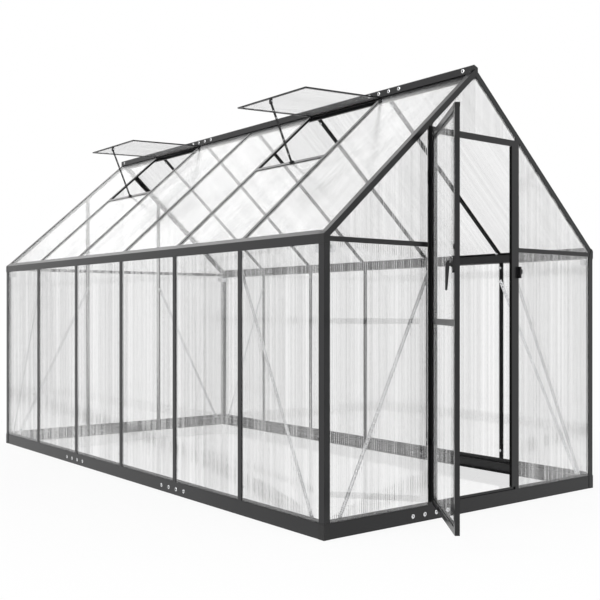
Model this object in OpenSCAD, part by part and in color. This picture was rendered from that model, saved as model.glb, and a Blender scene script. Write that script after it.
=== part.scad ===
// Polycarbonate greenhouse: aluminium glazing profiles, clear twin-wall sheets,
// a bolted base frame, a hinged door that stands open and two propped roof vents.
// +X runs across the gable, +Y runs from the door to the back, +Z is up.
// The origin is the middle of the doorway's sill, on the ground at its outer face.

/* [House] */
// Width across the gable, over the glazing profiles
house_w = 1900; // [1500:10:2500]
// Length of one bay along the side wall
bay = 610; // [500:5:800]
// Number of bays along the side wall
bays = 6; // [6:1:7]
// How far the bars stand behind their even spacing
bar_shift = 20; // [0:1:30]
// Height of the roof plane where it meets the side wall
eave_z = 1292; // [1150:1:1400]
// Height of the roof plane at the ridge
apex_z = 2137; // [2050:1:2400]

/* [Base frame] */
// Height of the base rails, up to their inner lip
base_h = 83; // [70:1:120]
// How far the outer lip of the base rails stays below the inner one
base_step = 14; // [8:1:18]
// Width of the flanges of the base rails
base_flange = 38; // [30:1:60]
// Sheet thickness of the base rails
base_t = 2; // [1.5:0.5:3]
// Depth of the groove for the sheets, below the inner lip
base_groove = 22; // [18:1:26]
// Length of the joiner plates inside the base rails
joiner_l = 300; // [120:10:340]
// Distance from the bottom flange up to the joiner plates
joiner_up = 4; // [1:1:6]
// Height of the joiner plates
joiner_h = 50; // [30:1:56]
// Thickness of the joiner plates and brackets
joiner_t = 3; // [2:0.5:4]
// Thickness of the black covers on the corners
cover_t = 2; // [1:0.5:3]

/* [Glazing profiles] */
// Wall thickness of the aluminium profiles
prof_t = 2; // [1.5:0.1:3]
// Thickness of the clear sheets
sheet_t = 4; // [4:1:8]
// Free play round a sheet in its groove
sheet_play = 0.3; // [0.1:0.1:0.6]
// Width of the outer face of the wall bars
wall_cap = 30; // [26:1:50]
// Width of the outer face of the door posts
door_cap = 26; // [24:1:40]
// Width of the outer face of the roof bars
roof_cap = 24; // [22:1:40]
// Width of the web between two sheets
web_w = 6; // [4:1:8]
// Width of the inner flange that backs the sheets
flange_w = 22; // [20:1:36]
// Width of the bolt track on the inner face
track_w = 14; // [14:1:20]
// Height of the bolt track
track_h = 6; // [5:0.5:16]
// Gap in the bolt track that the bolt shanks pass through
track_gap = 7; // [5:0.5:8]

/* [Corners, rafters and rails] */
// Face of the corner posts along the side wall
corner_side = 35; // [32:1:50]
// Face of the corner posts on the gable
corner_front = 33; // [28:1:44]
// Face height of the gable rafters, square to the slope
rafter_h = 28; // [24:1:40]
// Width of the roof flange of the gable rafters
rafter_w = 32; // [28:1:45]
// Height of the rails across the gables at eave level
rail_h = 22; // [18:1:30]
// Distance from the eave line down to the underside of those rails
rail_drop = 30; // [24:1:120]
// Distance from the gable corner to the middle of the back studs
stud_x = 640; // [560:5:700]
// Thickness of the eave rail's outer wall
eave_out = 2; // [1.5:0.5:4]
// How far the eave rail reaches in over the wall posts
eave_in = 30; // [26:1:40]
// How far the eave rail's outer wall hangs below its floor
eave_drip = 4; // [2:1:8]
// Width of the eave rail's flange up the roof
eave_flange = 26; // [20:1:40]
// How far the eave corner covers reach up the roof
cover_up = 16; // [10:1:24]

/* [Ridge] */
// Width of the ridge beam
ridge_w = 54; // [50:1:70]
// Height of the ridge beam's top above the roof planes' meeting line
ridge_rise = 22; // [18:1:30]
// Height of the ridge beam's side edges above that line
ridge_side = 11; // [8:1:14]
// How far the ridge beam's lower lips reach beyond its sides
ridge_lip = 7; // [6:1:10]
// Distance from the gable's face to the ridge beam's end cap
ridge_inset = 10; // [4:1:16]
// Thickness of the ridge beam's web
ridge_web = 10; // [8:1:16]
// Depth of the ridge beam's web below the meeting line
ridge_drop = 50; // [46:1:80]
// Thickness of the ridge end caps
cap_t = 5; // [3:1:8]

/* [Corner brackets] */
// Reach of the corner brackets along each wall
bracket_l = 70; // [60:5:140]
// Height of the corner brackets
bracket_h = 34; // [24:1:60]
// Distance of the brackets below the eave rail
bracket_drop = 6; // [5:1:30]
// Size of the bevel at the brackets' lower ends
bracket_cut = 12; // [6:1:16]

/* [Braces] */
// Width of the perforated brace straps
strap_w = 20; // [16:1:30]
// Thickness of the brace straps
strap_t = 2; // [1:0.5:3]
// Hole size in the straps
strap_hole = 8; // [5:0.5:10]
// Distance between the strap holes
strap_pitch = 25; // [20:1:40]
// Distance from the eave rail down to the upper end of the braces
brace_drop = 104; // [60:2:300]
// Distance from the corner to the foot of a brace on the base rail
brace_in = 90; // [60:5:200]

/* [Roof vents] */
// Width of the rail that closes the roof below a vent
sill_h = 22; // [20:1:32]
// Length of a vent from its hinge to its free edge
vent_l = 520; // [400:5:640]
// How far a closed vent laps over the rail below it
vent_lap = 2; // [1:1:8]
// Gap between a vent and the middle lines of the bars beside it
vent_side = 2; // [1:1:12]
// Height of the vent frame profile
vent_h = 7; // [6.6:0.2:14]
// Width of the vent frame profile
vent_rail = 12; // [10:1:24]
// Angle that the vents stand open
vent_open = 39.5; // [20:0.5:50]
// Radius of the vent hinge bead
bead_r = 4; // [3:0.5:5]
// Width of the stay bars
stay_w = 13; // [8:1:22]
// Thickness of the stay bars
stay_t = 3; // [2:0.5:4]
// Distance between the holes in the stay bars
stay_pitch = 40; // [30:5:60]
// How far the foot of a stay stands nearer to the door than its upper end
stay_skew = 30; // [0:5:90]
// Height of the block that holds a stay under its vent
stay_block = 26; // [20:1:34]

/* [Door] */
// Width of the doorway between the door posts
doorway_w = 594; // [540:2:640]
// Distance from the top of the header up to the rafters, beside the door posts
header_drop = 13; // [4:1:60]
// Height of the header
header_h = 30; // [24:1:36]
// How far the leaf laps over the post on its hinge side
hinge_lap = 2; // [1:1:20]
// How far the leaf laps over the post on its latch side
latch_lap = 14; // [8:1:28]
// Thickness of the door leaf
leaf_t = 20; // [18:1:30]
// Height of the leaf's lower edge above the base rail's outer lip
leaf_gap = 9; // [5:1:14]
// Distance from the leaf's top edge up to the header's underside
leaf_top = 2; // [2:1:12]
// Gap between the closed leaf and the face of the door posts
leaf_stand = 7; // [6:1:12]
// Face width of the door stiles
stile_w = 30; // [28:1:50]
// Face width of the door rails
door_rail_w = 26; // [20:1:40]
// Thickness of the door rails between two sheet grooves
rail_web = 8; // [4:1:12]
// Height of the middle of the mid rail above the leaf's lower edge
mid_rail_up = 840; // [600:1:1000]
// Depth of the sheet groove in the stiles
stile_groove = 7; // [6:1:12]
// Depth of the door's sheets behind its outer face
sheet_deep = 3; // [2:0.5:6]
// Width of the stop that the closed leaf's free edge meets
stop_w = 27; // [20:1:34]
// Depth of that stop
stop_d = 12.5; // [8:0.5:14]
// Reach of the black caps on the leaf's upper corners
leaf_cap = 40; // [30:1:60]
// Height of those caps
leaf_cap_h = 18; // [12:1:24]
// Thickness of those caps
leaf_cap_t = 1; // [0.8:0.1:1.4]
// Angle that the door stands open
door_open = 127.75; // [0:0.25:160]
// Height of the middle of the lower hinge above the leaf's lower edge
hinge_up = 296; // [100:1:400]
// Distance from the leaf's top edge down to the middle of the upper hinge
hinge_down = 205; // [100:1:400]
// Length of a hinge
hinge_l = 60; // [40:2:90]
// Radius of the hinge knuckles
knuckle_r = 6; // [5:0.5:7]
// Radius of the hinge pins
pin_r = 3; // [2:0.5:4]

/* [Door handle] */
// Height of the handle's spindle above the leaf's lower edge
handle_up = 1074; // [900:1:1150]
// Length of the lever below its spindle
lever_l = 104; // [80:1:140]
// How far the lever stands off the door leaf
lever_out = 35; // [28:1:50]
// Thickness of the lever at its spindle
lever_top = 16; // [10:1:20]
// Thickness of the lever at its tip
lever_tip = 7; // [4:1:9]
// Radius of the spindle
spindle_r = 6.5; // [4:0.5:8]
// Height of the handle's escutcheon plate
plate_h = 68; // [50:1:90]
// Width of the escutcheon plate
plate_w = 26; // [22:1:32]
// Thickness of the escutcheon plate
plate_t = 8; // [4:1:10]
// Gap between the closed leaf and the latch keeper
keeper_gap = 5; // [3:0.5:8]
// Width of the latch keeper
keeper_w = 8; // [7:1:20]
// Height of the latch keeper
keeper_h = 58; // [40:1:80]
// How far the keeper reaches below the spindle's height
keeper_low = 21; // [10:1:30]
// How far the keeper's nose stands out beside it
keeper_nose = 8; // [6:1:20]
// Height of the keeper's nose
nose_h = 24; // [16:1:30]

/* [Hidden] */
$fn = 48;
house_l = bay * bays;
hw = house_w / 2;
slope = atan((apex_z - eave_z) / hw);
// Depths from the outer face: front of the sheet, back of the groove, and the whole bar
groove = sheet_t + 2 * sheet_play;
sheet_in = prof_t + sheet_play;
back_in = prof_t + groove;
bar_d = back_in + prof_t + track_h;
// The same depths measured straight down from the sloping roof plane
function down(d) = d / cos(slope);
// Height of the roof plane at a distance from the middle of the house
function roof_at(x) = apex_z - abs(x) * tan(slope);
eave_low = eave_z - down(rafter_h);
slope_l = hw / cos(slope);
rail_z = eave_z - rail_drop;
brace_top = eave_low - brace_drop;
base_lip = base_h - base_step;
header_z = roof_at(doorway_w / 2) - down(rafter_h) - header_drop - header_h;
sheet_low = base_h - base_groove + sheet_play;
post_x = doorway_w / 2 + door_cap / 2;
vent_bays = [1, bays - 2];
// The vent hinge bead lies on the ridge beam's lower lip, under its side edge
vent_hinge_w = bead_r - back_in;
lip_x = ridge_w / 2 + ridge_lip;
vent_hinge_u = (lip_x - bead_r - vent_hinge_w * sin(slope)) / cos(slope);
// The roof bars' outer parts stop short of the ridge beam and the vent hinges
notch_x = lip_x + 6;
// Place of the line between two bays, counted from the door
function edge_y(i) = i <= 0 ? 0 : i >= bays ? house_l : i * bay + bar_shift;
bar_ys = [for (i = [1:bays - 1]) edge_y(i)];
bay_mids = [for (i = [0:bays - 1]) (edge_y(i) + edge_y(i + 1)) / 2];
// Hinge axis of the door, and the leaf's place beside it
knuckle_gap = 1;
leaf_w = doorway_w + hinge_lap + latch_lap;
leaf_x0 = knuckle_r + knuckle_gap;
leaf_x1 = leaf_x0 + leaf_w;
hinge_x = -doorway_w / 2 - hinge_lap - leaf_x0;
hinge_y = -leaf_stand - leaf_t / 2;
leaf_z0 = base_lip + leaf_gap;
leaf_z1 = header_z - leaf_top;
mid_rail_z = leaf_z0 + mid_rail_up;
hinge_zs = [leaf_z0 + hinge_up, leaf_z1 - hinge_down];
pin_play = 0.1;
handle_x = leaf_x1 - stile_w / 2;
handle_z = leaf_z0 + handle_up;
cutter = 2 * (house_w + house_l);

alu = [0.23, 0.23, 0.24];
zinc = [0.72, 0.73, 0.74];
clear_sheet = [0.88, 0.9, 0.92, 0.45];
black_plastic = [0.12, 0.12, 0.12];

// ---- Places ----

// Draws for the left side wall, or mirrored for the right one
module on_side(side) {
    mirror([side > 0 ? 1 : 0, 0, 0])
        children();
}

// Draws for the front gable, or mirrored for the back one
module on_gable(end) {
    translate([0, end > 0 ? house_l : 0, 0])
        mirror([0, end > 0 ? 1 : 0, 0])
            children();
}

// Local X runs down the slope from the ridge line, local Z is square to the roof
module on_slope(side) {
    mirror([side < 0 ? 1 : 0, 0, 0])
        translate([0, 0, apex_z])
            rotate([0, slope, 0])
                children();
}

// Keeps what lies between the ridge web and the wall plane, with plumb-cut ends
module plumb_cut(side, inner) {
    intersection() {
        children();
        mirror([side < 0 ? 1 : 0, 0, 0])
            translate([inner, -cutter / 2, 0])
                cube([hw - inner, cutter, 2 * apex_z]);
    }
}

// The gable's outline below the rafters, as a slab that reaches depth d from their tops
module under_rafters(d) {
    translate([0, cutter / 2, 0])
        rotate([90, 0, 0])
            linear_extrude(cutter)
                polygon([
                    [-hw, 0],
                    [hw, 0],
                    [hw, eave_z - down(d)],
                    [0, apex_z - down(d)],
                    [-hw, eave_z - down(d)]
                ]);
}

// ---- Profiles ----

// Glazing bar: outer cap, web, inner flange and a bolt track, with Y running inwards
module glazing_bar_2d(cap) {
    translate([-cap / 2, 0])
        square([cap, prof_t]);
    translate([-web_w / 2, 0])
        square([web_w, back_in + prof_t]);
    translate([-flange_w / 2, back_in])
        square([flange_w, prof_t]);
    difference() {
        translate([-track_w / 2, back_in])
            square([track_w, bar_d - back_in]);
        translate([-track_w / 2 + prof_t, back_in + prof_t])
            square([track_w - 2 * prof_t, track_h - prof_t]);
        translate([-track_gap / 2, back_in + prof_t])
            square([track_gap, track_h + 1]);
    }
}

// Rail with a sheet groove above and below, with X running inwards
module groove_rail_2d(h) {
    square([prof_t, h]);
    translate([back_in, 0])
        square([prof_t, h]);
    translate([0, h / 2 - prof_t / 2])
        square([back_in + prof_t, prof_t]);
}

// Post that stands in the corner at the origin of X and Y
module corner_post_2d() {
    core = bar_d;
    square([corner_front, prof_t]);
    square([prof_t, corner_side]);
    difference() {
        square(core);
        translate([prof_t, prof_t])
            square(core - 2 * prof_t);
    }
    translate([core - prof_t, back_in])
        square([corner_front - core + prof_t, prof_t]);
    translate([back_in, core - prof_t])
        square([prof_t, corner_side - core + prof_t]);
}

// Base rail: web outside, two flanges, and an inner lip that makes the sheet groove
module base_rail_2d() {
    floor_z = base_h - base_groove;
    square([base_t, base_lip]);
    square([base_flange, base_t]);
    translate([0, floor_z - base_t])
        square([base_flange, base_t]);
    translate([back_in, floor_z - base_t])
        square([prof_t, base_groove + base_t]);
}

// Gable rafter: gable face, roof cap, and grooves for the roof and gable sheets
module rafter_2d() {
    square([prof_t, rafter_h]);
    square([rafter_w, prof_t]);
    square([web_w, back_in + prof_t]);
    translate([0, back_in])
        square([rafter_w, prof_t]);
    translate([back_in, back_in])
        square([prof_t, rafter_h - back_in]);
}

// Eave rail: outer wall, flange up the roof, floor, and an inner wall that carries the bars
module eave_rail_2d() {
    seat_z = eave_z - down(bar_d);
    top_z = eave_z - eave_out * tan(slope);
    flange_in = eave_flange * cos(slope);
    translate([0, eave_low])
        square([eave_in, prof_t]);
    translate([-eave_out, eave_low - eave_drip])
        square([eave_out, top_z - eave_low + eave_drip]);
    polygon([
        [-eave_out, top_z],
        [flange_in, eave_z + flange_in * tan(slope)],
        [flange_in, eave_z + flange_in * tan(slope) + down(prof_t)],
        [-eave_out, top_z + down(prof_t)]
    ]);
    polygon([
        [eave_in - prof_t, eave_low],
        [eave_in, eave_low],
        [eave_in, seat_z + eave_in * tan(slope)],
        [eave_in - prof_t, seat_z + (eave_in - prof_t) * tan(slope)]
    ]);
}

// Web of the ridge beam, up to the roof planes
module ridge_web_2d() {
    web = ridge_web / 2;
    translate([-web, apex_z - ridge_drop])
        square([ridge_web, roof_at(web) - apex_z + ridge_drop]);
}

// Lips on both sides of the web that back the roof sheets' upper ends
module ridge_lips_2d() {
    web = ridge_web / 2;
    for (side = [-1, 1])
        mirror([side < 0 ? 1 : 0, 0])
            polygon([
                [web - 1, roof_at(web - 1) - down(back_in)],
                [lip_x, roof_at(lip_x) - down(back_in)],
                [lip_x, roof_at(lip_x) - down(back_in + prof_t)],
                [web - 1, roof_at(web - 1) - down(back_in + prof_t)]
            ]);
}

// Top of the ridge beam: falls from a middle line to upright sides above the roof sheets
module ridge_top_2d() {
    half = ridge_w / 2;
    polygon([
        [-half, roof_at(half) + sheet_play],
        [-half, apex_z + ridge_side],
        [0, apex_z + ridge_rise],
        [half, apex_z + ridge_side],
        [half, roof_at(half) + sheet_play],
        [0, apex_z + sheet_play]
    ]);
}

// ---- Base frame ----

module gable_base(end) {
    lap = base_flange + 1;
    on_gable(end)
        intersection() {
            translate([-hw, 0, 0])
                rotate([90, 0, 90])
                    linear_extrude(house_w)
                        base_rail_2d();
            linear_extrude(base_h)
                polygon([[-hw, 0], [hw, 0], [hw - lap, lap], [-hw + lap, lap]]);
        }
}

module side_base(side) {
    lap = base_flange + 1;
    on_side(side)
        intersection() {
            translate([-hw, house_l, 0])
                rotate([90, 0, 0])
                    linear_extrude(house_l)
                        base_rail_2d();
            linear_extrude(base_h)
                polygon([[-hw, 0], [-hw, house_l], [-hw + lap, house_l - lap], [-hw + lap, lap]]);
        }
}

module base_front() {
    color(alu) gable_base(-1);
}

module base_back() {
    color(alu) gable_base(1);
}

module base_left() {
    color(alu) side_base(-1);
}

module base_right() {
    color(alu) side_base(1);
}

// Plates behind the rails where two lengths of base rail meet
module base_joiners() {
    color(alu) {
        for (side = [-1, 1])
            for (i = [2, bays - 2])
                on_side(side)
                    translate([-hw + base_t, edge_y(i) - joiner_l / 2, base_t + joiner_up])
                        cube([joiner_t, joiner_l, joiner_h]);
        for (end = [-1, 1])
            on_gable(end)
                translate([-post_x - joiner_l / 2, base_t, base_t + joiner_up])
                    cube([joiner_l, joiner_t, joiner_h]);
    }
}

// Angle of sheet thickness t round the outside of the corner at the origin
module corner_angle_2d(t) {
    difference() {
        translate([-t, -t])
            square([corner_front + t, corner_side + t]);
        square([corner_front + 1, corner_side + 1]);
    }
}

// Black covers over the mitred corners of the base rails
module base_corner_covers() {
    color(black_plastic)
        for (side = [-1, 1])
            for (end = [-1, 1])
                on_side(side)
                    on_gable(end)
                        translate([-hw, 0, 0])
                            linear_extrude(base_lip)
                                corner_angle_2d(cover_t);
}

// ---- Walls ----

// Cuts away what stands behind the outer skin below the base rails' inner lip
module over_base(wide) {
    difference() {
        children();
        translate([-wide, prof_t, 0])
            cube([2 * wide, wide, base_h]);
    }
}

module corner_posts() {
    color(alu)
        for (side = [-1, 1])
            for (end = [-1, 1])
                on_side(side)
                    on_gable(end)
                        translate([-hw, 0, 0])
                            difference() {
                                translate([0, 0, base_lip])
                                    linear_extrude(eave_low - base_lip)
                                        corner_post_2d();
                                translate([prof_t, prof_t, 0])
                                    cube([corner_front, corner_side, base_h]);
                            }
}

// One glazing bar upright in the left wall
module wall_post(y) {
    translate([-hw, y, 0])
        rotate([0, 0, -90])
            over_base(wall_cap)
                translate([0, 0, base_lip])
                    linear_extrude(eave_low - base_lip)
                        glazing_bar_2d(wall_cap);
}

module left_wall_posts() {
    color(alu)
        for (y = bar_ys)
            wall_post(y);
}

module right_wall_posts() {
    color(alu)
        on_side(1)
            for (y = bar_ys)
                wall_post(y);
}

// Upright glazing bar in the front gable, cut to the slope of the rafter
module gable_post(x, cap) {
    intersection() {
        translate([x, 0, 0])
            over_base(cap)
                translate([0, 0, base_lip])
                    linear_extrude(apex_z)
                        glazing_bar_2d(cap);
        under_rafters(rafter_h);
    }
}

module door_posts() {
    color(alu)
        for (side = [-1, 1])
            gable_post(side * post_x, door_cap);
}

// Angle beside the latch post that the closed leaf's free edge stands in front of
module door_stop() {
    color(alu)
        translate([doorway_w / 2 - stop_w, 0, base_h])
            linear_extrude(header_z - base_h)
                union() {
                    square([stop_w, prof_t]);
                    square([prof_t, stop_d]);
                }
}

module door_header() {
    color(alu)
        translate([-doorway_w / 2, 0, header_z])
            rotate([90, 0, 90])
                linear_extrude(doorway_w)
                    groove_rail_2d(header_h);
}

module back_gable_studs() {
    color(alu)
        on_gable(1)
            for (side = [-1, 1])
                gable_post(side * (hw - stud_x), wall_cap);
}

// Grooved rail across a gable from x0 to x1, trimmed under the rafters
module gable_rail(x0, x1) {
    intersection() {
        translate([x0, 0, rail_z])
            rotate([90, 0, 90])
                linear_extrude(x1 - x0)
                    groove_rail_2d(rail_h);
        under_rafters(rafter_h);
    }
}

module front_gable_rails() {
    color(alu)
        for (side = [-1, 1])
            on_side(side)
                gable_rail(-hw, -post_x - door_cap / 2);
}

module back_gable_rail() {
    stud = hw - stud_x;
    color(alu)
        on_gable(1) {
            for (side = [-1, 1])
                on_side(side)
                    gable_rail(-hw, -stud - wall_cap / 2);
            gable_rail(-stud + wall_cap / 2, stud - wall_cap / 2);
        }
}

// ---- Roof frame ----

module eave_rail(side) {
    on_side(side)
        translate([-hw, house_l - corner_side, 0])
            rotate([90, 0, 0])
                linear_extrude(house_l - 2 * corner_side)
                    eave_rail_2d();
}

module left_eave_rail() {
    color(alu) eave_rail(-1);
}

module right_eave_rail() {
    color(alu) eave_rail(1);
}

// Outline of an eave corner cover, seen along the gable, from the wall plane inwards
module eave_cover_2d(skin) {
    low = eave_low - eave_drip;
    up = cover_up * cos(slope);
    top_z = eave_z - cover_t * tan(slope) + down(cover_t);
    difference() {
        polygon([
            [-cover_t, low],
            [-cover_t, top_z],
            [up, top_z + (up + cover_t) * tan(slope)],
            [corner_front, eave_z - down(rafter_h)],
            [corner_front, low]
        ]);
        if (!skin)
            polygon([
                [0, low - 1],
                [0, eave_z],
                [up + corner_front, eave_z + (up + corner_front) * tan(slope)],
                [up + corner_front, low - 1]
            ]);
    }
}

// Black covers round the four corners at the eaves, over the rafters' feet
module eave_corner_covers() {
    color(black_plastic)
        for (side = [-1, 1])
            for (end = [-1, 1])
                on_side(side)
                    on_gable(end)
                        translate([-hw, 0, 0])
                            rotate([90, 0, 0]) {
                                linear_extrude(cover_t)
                                    eave_cover_2d(true);
                                translate([0, 0, -corner_side])
                                    linear_extrude(corner_side)
                                        eave_cover_2d(false);
                            }
}

// Draws a ridge section as long as the house, less the inset at each end
module along_ridge(inset) {
    translate([0, house_l - inset, 0])
        rotate([90, 0, 0])
            linear_extrude(house_l - 2 * inset)
                children();
}

module ridge_beam() {
    color(alu) {
        along_ridge(prof_t)
            ridge_web_2d();
        along_ridge(rafter_w + sheet_play)
            ridge_lips_2d();
        along_ridge(ridge_inset + cap_t) {
            ridge_top_2d();
            translate([-ridge_web / 2, apex_z - ridge_drop])
                square([ridge_web, ridge_drop + 1]);
        }
    }
}

module ridge_end_caps() {
    color(black_plastic)
        for (end = [-1, 1])
            on_gable(end)
                translate([0, ridge_inset + cap_t, 0])
                    rotate([90, 0, 0])
                        linear_extrude(cap_t)
                            ridge_top_2d();
}

// Two rafters that meet over the door, cut out behind their faces for the ridge beam
module rafter_pair() {
    difference() {
        for (side = [-1, 1])
            plumb_cut(side, sheet_play / 2)
                on_slope(side)
                    translate([-bay, 0, 0])
                        rotate([90, 0, 90])
                            mirror([0, 1, 0])
                                linear_extrude(slope_l + 2 * bay)
                                    rafter_2d();
        translate([-ridge_web / 2, prof_t, 0])
            cube([ridge_web, rafter_w, 2 * apex_z]);
    }
}

module front_rafters() {
    color(alu) rafter_pair();
}

module back_rafters() {
    color(alu) on_gable(1) rafter_pair();
}

// Room round the ridge beam that the bars' caps, webs and flanges keep out of
module ridge_notch() {
    low = back_in + prof_t;
    translate([0, house_l, 0])
        rotate([90, 0, 0])
            linear_extrude(house_l)
                polygon([
                    [0, apex_z - down(low)],
                    [notch_x, roof_at(notch_x) - down(low)],
                    [notch_x, apex_z],
                    [-notch_x, apex_z],
                    [-notch_x, roof_at(notch_x) - down(low)]
                ]);
}

module roof_bars(side) {
    difference() {
        plumb_cut(side, ridge_web / 2)
            on_slope(side)
                for (y = bar_ys)
                    translate([-bay, y, 0])
                        rotate([90, 0, 90])
                            mirror([0, 1, 0])
                                linear_extrude(slope_l + 2 * bay)
                                    glazing_bar_2d(roof_cap);
        ridge_notch();
    }
}

module left_roof_bars() {
    color(alu) roof_bars(-1);
}

module right_roof_bars() {
    color(alu) roof_bars(1);
}

// ---- Brackets and braces ----

// Folded plates that wrap the core of each corner post and tie it to the walls
module corner_brackets() {
    near = back_in + prof_t;
    far = near + joiner_t;
    turn = bar_d + joiner_t;
    color(zinc)
        for (side = [-1, 1])
            for (end = [-1, 1])
                on_side(side)
                    on_gable(end)
                        translate([-hw, 0, eave_low - bracket_h - bracket_drop])
                            difference() {
                                linear_extrude(bracket_h)
                                    polygon([
                                        [near, bracket_l],
                                        [near, bar_d],
                                        [bar_d, bar_d],
                                        [bar_d, near],
                                        [bracket_l, near],
                                        [bracket_l, far],
                                        [turn, far],
                                        [turn, turn],
                                        [far, turn],
                                        [far, bracket_l]
                                    ]);
                                for (along = [0, 1])
                                    mirror([along, -along, 0])
                                        translate([bracket_l, 0, 0])
                                            rotate([0, 45, 0])
                                                cube([bracket_cut, bracket_l, bracket_cut], center = true);
                            }
}

// Perforated strap from (u0, z0) to (u1, z1), standing in the XZ plane, face at Y = 0
module strap(u0, z0, u1, z1) {
    len = norm([u1 - u0, z1 - z0]);
    lean = atan2(z1 - z0, u1 - u0);
    count = floor((len - strap_w) / strap_pitch);
    first = (len - count * strap_pitch) / 2;
    translate([u0, 0, z0])
        rotate([90, -lean, 0])
            linear_extrude(strap_t)
                difference() {
                    translate([0, -strap_w / 2])
                        square([len, strap_w]);
                    for (i = [0:count])
                        translate([first + i * strap_pitch, 0])
                            circle(d = strap_hole);
                }
}

// Strap from the base rail's flange at u0 up to a post at u1, cut off on the flange
module brace(u0, u1) {
    seat = base_h - base_groove;
    difference() {
        strap(u0, seat, u1, brace_top);
        translate([u0 - strap_w, -strap_w, seat - 2 * strap_w])
            cube([3 * strap_w, 2 * strap_w, 2 * strap_w]);
    }
}

// Straps on the inside of the left wall, in its two end bays
module side_braces() {
    for (end = [-1, 1])
        on_gable(end)
            translate([-hw + bar_d, 0, 0])
                rotate([0, 0, 90])
                    brace(brace_in, bay - end * bar_shift);
}

module left_wall_braces() {
    color(zinc) side_braces();
}

module right_wall_braces() {
    color(zinc) on_side(1) side_braces();
}

// Straps on the inside of the front gable, from the posts at x down to the corners
module gable_braces(x) {
    for (side = [-1, 1])
        on_side(side)
            translate([0, bar_d + strap_t, 0])
                brace(-hw + brace_in, -x);
}

module front_braces() {
    color(zinc) gable_braces(post_x);
}

module back_braces() {
    color(zinc) on_gable(1) gable_braces(hw - stud_x);
}

// ---- Sheets ----

module wall_panels_left() {
    half_web = web_w / 2 + sheet_play;
    end_in = bar_d + sheet_play;
    for (i = [0:bays - 1]) {
        y0 = edge_y(i) + (i == 0 ? end_in : half_web);
        y1 = edge_y(i + 1) - (i == bays - 1 ? end_in : half_web);
        translate([-hw + sheet_in, y0, sheet_low])
            cube([sheet_t, y1 - y0, eave_low - sheet_play - sheet_low]);
    }
}

module left_wall_panels() {
    color(clear_sheet) wall_panels_left();
}

module right_wall_panels() {
    color(clear_sheet) on_side(1) wall_panels_left();
}

// Sheet in the front gable from x0 to x1 and z0 to z1, cut under the rafter's web
module gable_sheet(x0, x1, z0, z1) {
    intersection() {
        translate([x0, sheet_in, z0])
            cube([x1 - x0, sheet_t, z1 - z0]);
        under_rafters(back_in + prof_t + sheet_play);
    }
}

rail_low = rail_z + rail_h / 2 - prof_t / 2 - sheet_play;
rail_high = rail_z + rail_h / 2 + prof_t / 2 + sheet_play;
head_high = header_z + header_h / 2 + prof_t / 2 + sheet_play;

module front_wall_panels() {
    color(clear_sheet)
        for (side = [-1, 1])
            on_side(side)
                gable_sheet(
                    -hw + bar_d + sheet_play, -post_x - web_w / 2 - sheet_play,
                    sheet_low, rail_low
                );
}

module front_gable_panels() {
    color(clear_sheet) {
        for (side = [-1, 1])
            on_side(side)
                gable_sheet(-hw, -post_x - web_w / 2 - sheet_play, rail_high, apex_z);
        gable_sheet(
            -post_x + web_w / 2 + sheet_play, post_x - web_w / 2 - sheet_play,
            head_high, apex_z - ridge_drop - sheet_play
        );
    }
}

module back_wall_panels() {
    stud = hw - stud_x;
    color(clear_sheet)
        on_gable(1) {
            for (side = [-1, 1])
                on_side(side)
                    gable_sheet(
                        -hw + bar_d + sheet_play, -stud - web_w / 2 - sheet_play,
                        sheet_low, rail_low
                    );
            gable_sheet(
                -stud + web_w / 2 + sheet_play, stud - web_w / 2 - sheet_play,
                sheet_low, rail_low
            );
        }
}

module back_gable_panels() {
    stud = hw - stud_x;
    color(clear_sheet)
        on_gable(1) {
            for (side = [-1, 1])
                on_side(side)
                    gable_sheet(-hw, -stud - web_w / 2 - sheet_play, rail_high, apex_z);
            gable_sheet(
                -stud + web_w / 2 + sheet_play, stud - web_w / 2 - sheet_play,
                rail_high, apex_z - ridge_drop - sheet_play
            );
        }
}

// Down-slope place of the rail that closes the roof opening below a vent
sill_u = vent_hinge_u + vent_l - vent_lap;

module roof_panels(side, open_bays) {
    half_web = web_w / 2 + sheet_play;
    end_in = web_w + sheet_play;
    plumb_cut(side, ridge_web / 2 + sheet_play)
        on_slope(side)
            for (i = [0:bays - 1]) {
                y0 = edge_y(i) + (i == 0 ? end_in : half_web);
                y1 = edge_y(i + 1) - (i == bays - 1 ? end_in : half_web);
                is_open = len([for (b = open_bays) if (b == i) b]) > 0;
                u0 = is_open ? sill_u + sill_h / 2 + prof_t / 2 + sheet_play : -bay;
                translate([u0, y0, -sheet_in - sheet_t])
                    cube([slope_l + bay - u0, y1 - y0, sheet_t]);
            }
}

module left_roof_panels() {
    color(clear_sheet) roof_panels(-1, vent_bays);
}

module right_roof_panels() {
    color(clear_sheet) roof_panels(1, []);
}

// ---- Roof vents ----

// Rail across the bay under the free edge of each vent
module vent_sills() {
    half = bay / 2 - max(roof_cap, flange_w) / 2;
    color(alu)
        on_slope(-1)
            for (i = vent_bays)
                translate([sill_u, bay_mids[i] + half, 0])
                    rotate([90, 90, 0])
                        linear_extrude(2 * half)
                            groove_rail_2d(sill_h);
}

// Bead along the ridge beam's lower lip that the vent's upper rail turns on
module vent_hinges() {
    wide = bay - 2 * vent_side;
    color(alu)
        on_slope(-1)
            for (i = vent_bays)
                translate([vent_hinge_u, bay_mids[i] - wide / 2, vent_hinge_w])
                    rotate([-90, 0, 0])
                        cylinder(r = bead_r, h = wide);
}

// Places children in a vent's own frame: X from its hinge to its free edge
module vent_frames() {
    on_slope(-1)
        for (i = vent_bays)
            translate([vent_hinge_u, bay_mids[i], vent_hinge_w])
                rotate([0, -vent_open, 0])
                    children();
}

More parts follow.
